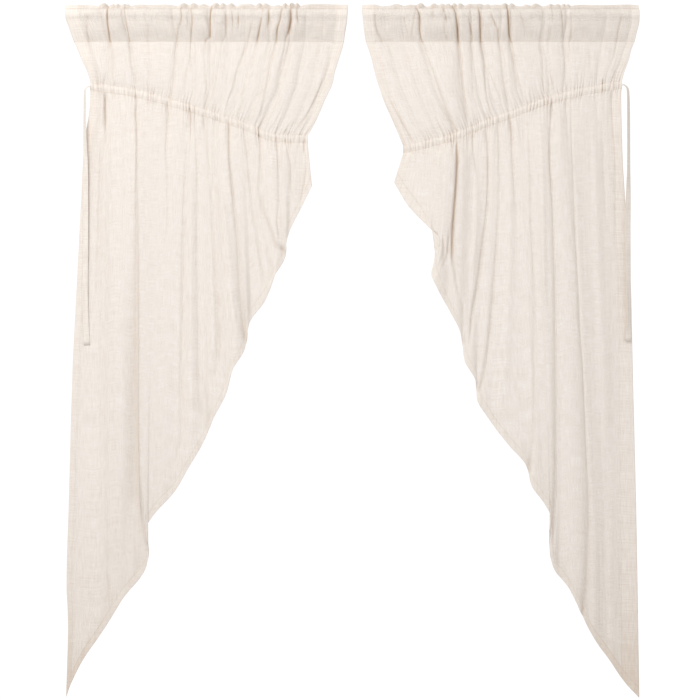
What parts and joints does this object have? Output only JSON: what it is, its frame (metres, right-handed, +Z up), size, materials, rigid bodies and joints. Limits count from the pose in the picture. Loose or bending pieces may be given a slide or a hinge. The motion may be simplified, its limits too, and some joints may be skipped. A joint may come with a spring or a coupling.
{
  "type": "pair of gathered swag curtain panels with plain rods",
  "caption": "Pair of unlined burlap swag curtain panels, each folded over a plain rod, drawn in along a slanting channel with a tie, and cut to a long slanting hem.",
  "frame": {"origin": "on the rods' common axis, halfway between the two panels", "axes": "+X to the right along the rods, +Y towards the wall behind the curtain, +Z up; the panels' faces look along -Y"},
  "size_m": [1.7609, 0.0595, 2.1342],
  "materials": {
    "burlap": "matte, open plain weave of natural off-white yarn",
    "channel_strip": "matte, plain weave",
    "tie": "matte, folded and stitched cloth tape",
    "rod": "plain satin grey paint"
  },
  "bodies": {
    "root": {"panel_left": "burlap", "panel_right": "burlap", "channel_strip_left": "channel_strip", "channel_strip_right": "channel_strip", "tie_left": "tie", "tie_right": "tie", "rod_left": "rod", "rod_right": "rod"}
  },
  "joints": []
}
